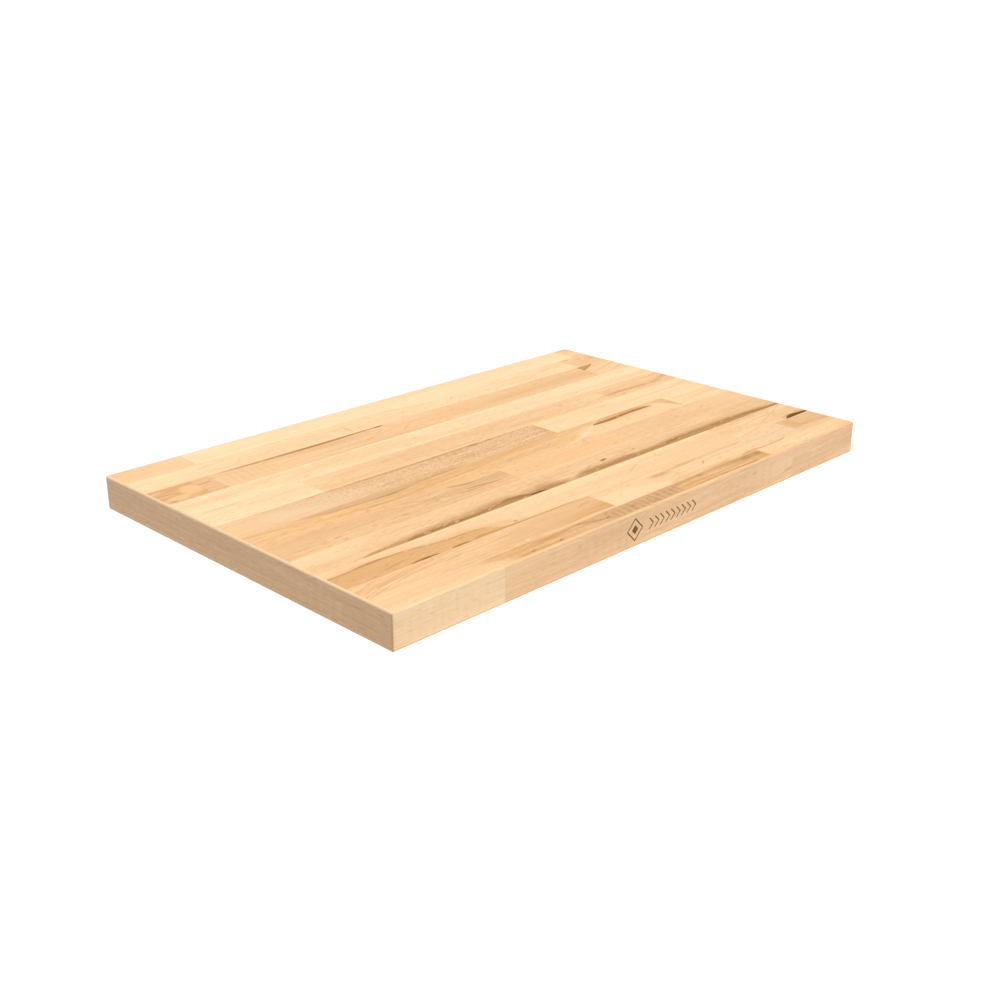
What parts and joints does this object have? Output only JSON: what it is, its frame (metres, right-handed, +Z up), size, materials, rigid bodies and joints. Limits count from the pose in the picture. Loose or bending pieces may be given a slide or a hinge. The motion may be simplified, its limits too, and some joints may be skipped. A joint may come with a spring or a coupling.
{
  "type": "butcher block table top",
  "caption": "Rectangular edge-grain butcher block table top: glued maple staves banded with thin strips on every edge, rounded arrises and a burnt lozenge-and-chevron mark on the front edge.",
  "frame": {"origin": "centre of the underside, on the surface that the top rests on", "axes": "+X along the length towards the right end, +Z up; the edge with the burnt mark faces -Y"},
  "size_m": [0.7112, 0.4572, 0.0373],
  "materials": {
    "maple_cream": "pale cream maple, sanded and oiled to a low satin",
    "maple_peach": "warm peach maple, sanded and oiled to a low satin",
    "maple_tan": "pinkish tan maple with flecks, sanded and oiled to a low satin",
    "maple_amber": "amber heartwood maple with dark mineral streaks, sanded and oiled to a low satin",
    "maple_brown": "grey-brown heartwood maple, sanded and oiled to a low satin",
    "edge_band": "long-grain maple edge strip, sanded and oiled to a low satin, with a burnt mark on the front"
  },
  "bodies": {
    "root": {"stave_01_left": "maple_tan", "stave_01_middle": "maple_cream", "stave_01_right": "maple_tan", "stave_02_left": "maple_cream", "stave_02_right": "maple_tan", "stave_03_left": "maple_amber", "stave_03_filler": "maple_brown", "stave_03_middle": "maple_peach", "stave_03_right": "maple_cream", "stave_04_full": "maple_cream", "stave_05_left": "maple_cream", "stave_05_middle": "maple_peach", "stave_05_right": "maple_tan", "stave_06_left": "maple_tan", "stave_06_right": "maple_cream", "stave_07_left": "maple_amber", "stave_07_right": "maple_cream", "stave_08_left": "maple_tan", "stave_08_right": "maple_peach", "stave_09_full": "maple_peach", "stave_10_left": "maple_cream", "stave_10_right": "maple_tan", "stave_11_left": "maple_peach", "stave_11_middle": "maple_cream", "stave_11_right": "maple_tan", "stave_12_left": "maple_amber", "stave_12_right": "maple_cream", "front_band_left": "edge_band", "front_band_middle": "edge_band", "front_band_right": "edge_band", "back_band_left": "edge_band", "back_band_middle": "edge_band", "back_band_right": "edge_band", "end_band_left": "edge_band", "end_band_right": "edge_band"}
  },
  "joints": []
}
